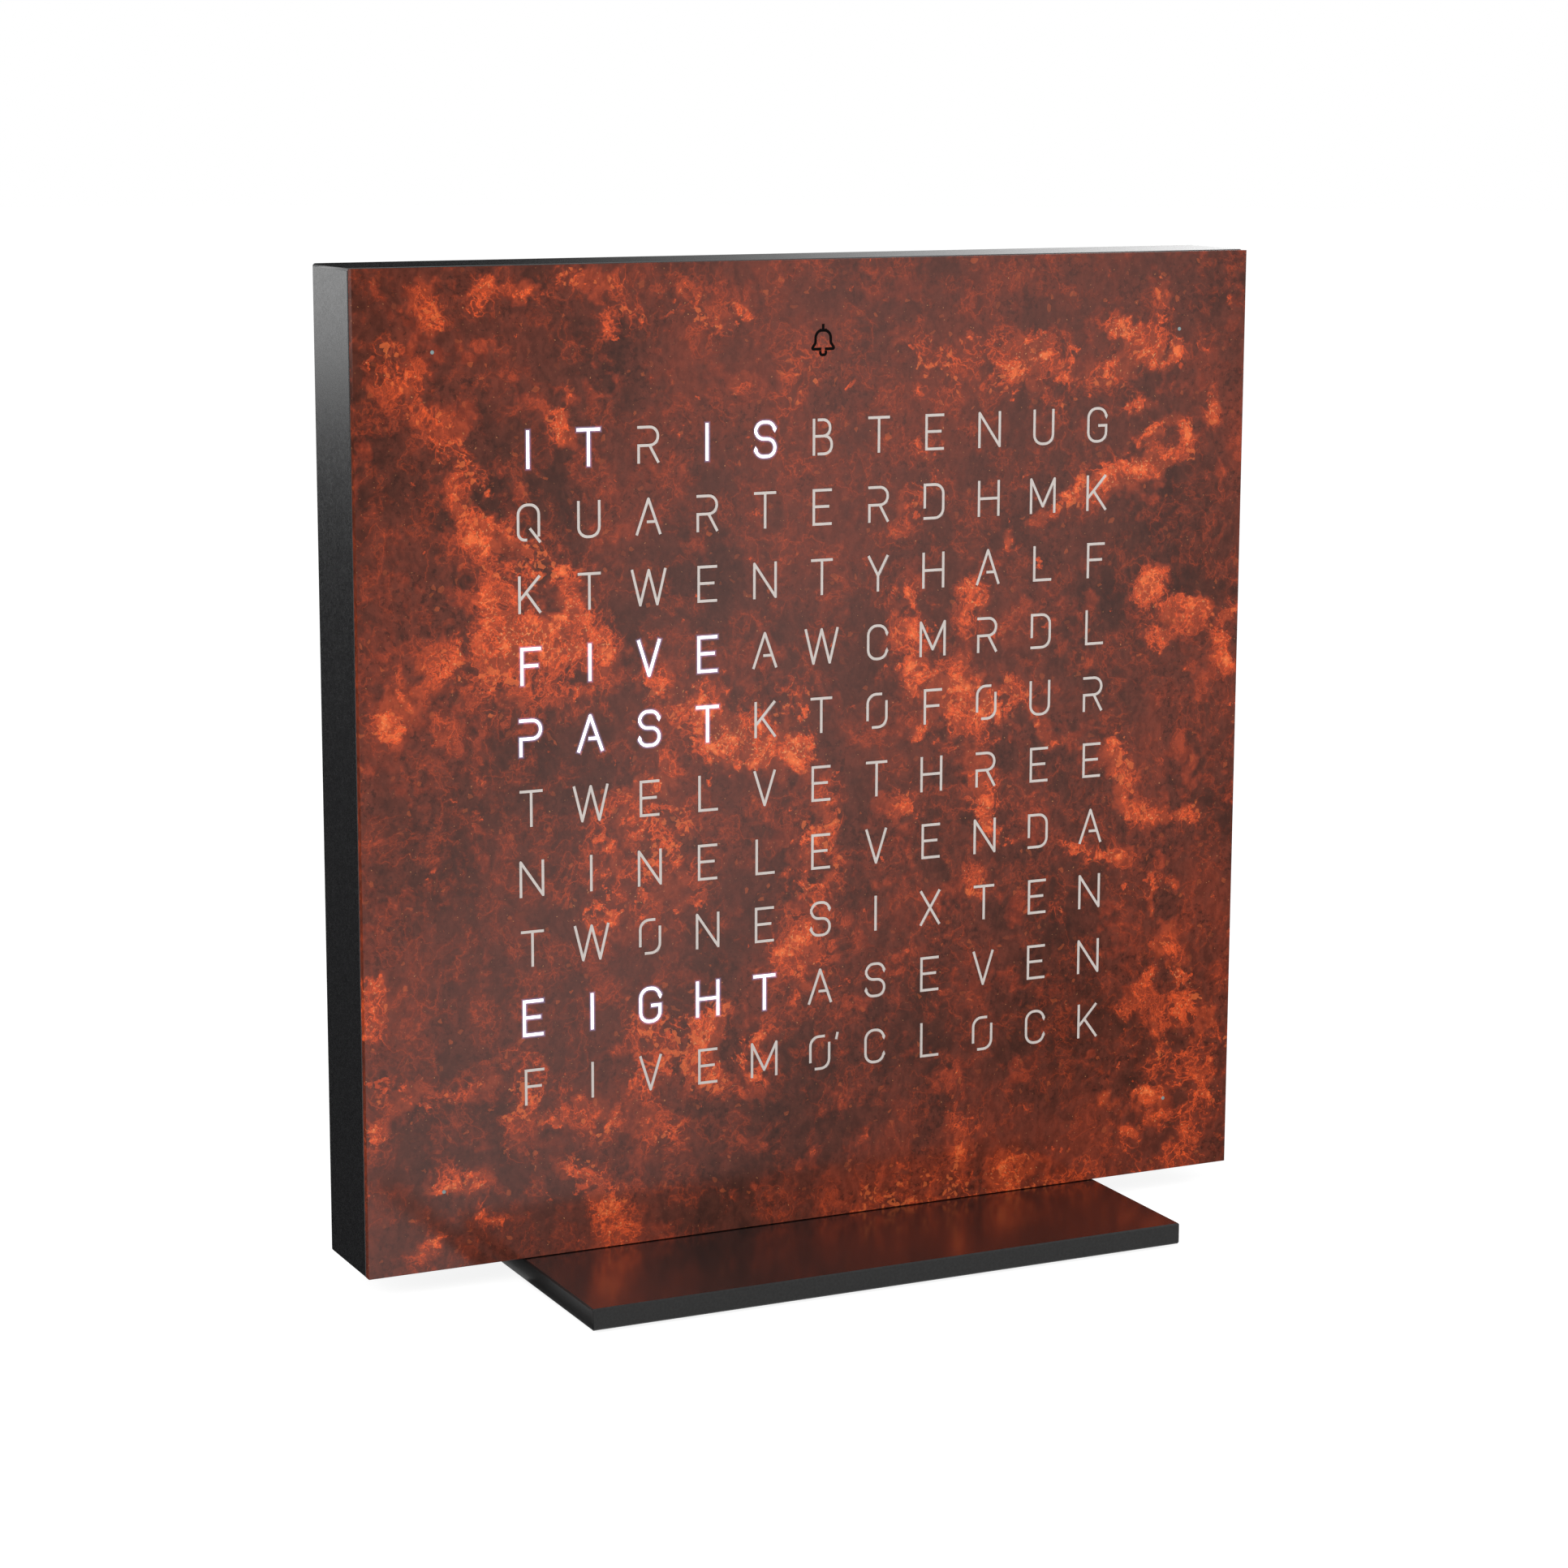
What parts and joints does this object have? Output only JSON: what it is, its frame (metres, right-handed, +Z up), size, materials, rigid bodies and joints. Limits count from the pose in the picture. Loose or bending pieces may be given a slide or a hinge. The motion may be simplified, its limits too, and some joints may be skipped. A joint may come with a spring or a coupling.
{
  "type": "word clock",
  "caption": "Square slim word clock on a flat stand: rusted steel face over a grid of lit letter cells, black frame, rear buttons and power socket.",
  "frame": {"origin": "centre of the stand's underside, on the surface that the clock stands on", "axes": "+X to the right of someone who reads the clock, +Y from the face to the rear, +Z up"},
  "size_m": [0.135, 0.063, 0.1385],
  "materials": {
    "rusted_face": "sheet steel with a grown rust patina under a clear lacquer",
    "opal_sheet": "translucent opal acrylic",
    "case_metal": "fine textured black powder coat",
    "stand_metal": "fine textured black powder coat, slightly glossy",
    "pad_rubber": "matt non-slip sheet",
    "magnet_nickel": "nickel plated magnet",
    "grid_plastic": "moulded, white",
    "board_laminate": "solder mask over glass laminate",
    "led_package": "white LED package with a yellow phosphor window",
    "chip_plastic": "moulded chip package",
    "can_metal": "drawn can",
    "coil_ferrite": "pressed ferrite",
    "holder_plastic": "moulded",
    "cell_steel": "nickel plated steel",
    "contact_sheet": "sprung sheet, tin plated",
    "sounder_plastic": "moulded",
    "foam_ring": "closed-cell foam",
    "socket_steel": "drawn steel shell",
    "socket_tongue": "moulded with bright contacts",
    "switch_plastic": "moulded",
    "panel_plastic": "moulded with a fine spark-eroded grain",
    "screw_steel": "blackened steel",
    "screw_zinc": "zinc plated steel",
    "button_plastic": "moulded, satin",
    "plunger_plastic": "moulded"
  },
  "bodies": {
    "clock_case": {"housing_frame": "case_metal", "housing_magnets": "magnet_nickel", "light_grid": "grid_plastic", "led_board": "board_laminate", "letter_leds": "led_package", "minute_leds": "led_package", "bell_led": "led_package", "light_sensor": "chip_plastic", "processor": "chip_plastic", "led_drivers": "chip_plastic", "clock_crystal": "can_metal", "power_coil": "coil_ferrite", "supply_capacitors": "can_metal", "coin_cell_holder": "holder_plastic", "coin_cell": "cell_steel", "coin_cell_contact": "contact_sheet", "alarm_sounder": "sounder_plastic", "sound_ring": "foam_ring", "touch_contact": "contact_sheet", "power_socket_shell": "socket_steel", "power_socket_tongue": "socket_tongue", "switch_cases": "switch_plastic", "back_panel": "panel_plastic", "panel_screws": "screw_steel", "stand_screws": "screw_zinc", "stand_plate": "stand_metal", "stand_pad": "pad_rubber"},
    "cover": {"front_cover": "rusted_face", "letter_diffuser": "opal_sheet"},
    "hour_key": {"hour_button": "button_plastic", "hour_plunger": "plunger_plastic"},
    "minute_key": {"minute_button": "button_plastic", "minute_plunger": "plunger_plastic"},
    "alarm_key": {"alarm_button": "button_plastic", "alarm_plunger": "plunger_plastic"}
  },
  "joints": [
    {"name": "cover_pull", "type": "slide", "parent": "clock_case", "child": "cover", "axis": [0, -1, 0], "range_m": [0, 0.03]},
    {"name": "hour_press", "type": "slide", "parent": "clock_case", "child": "hour_key", "axis": [0, -1, 0], "range_m": [0, 0.0005], "stiffness_N_per_m": 900, "springref_m": -0.0005},
    {"name": "minute_press", "type": "slide", "parent": "clock_case", "child": "minute_key", "axis": [0, -1, 0], "range_m": [0, 0.0005], "stiffness_N_per_m": 900, "springref_m": -0.0005},
    {"name": "alarm_press", "type": "slide", "parent": "clock_case", "child": "alarm_key", "axis": [0, -1, 0], "range_m": [0, 0.0005], "stiffness_N_per_m": 900, "springref_m": -0.0005}
  ]
}
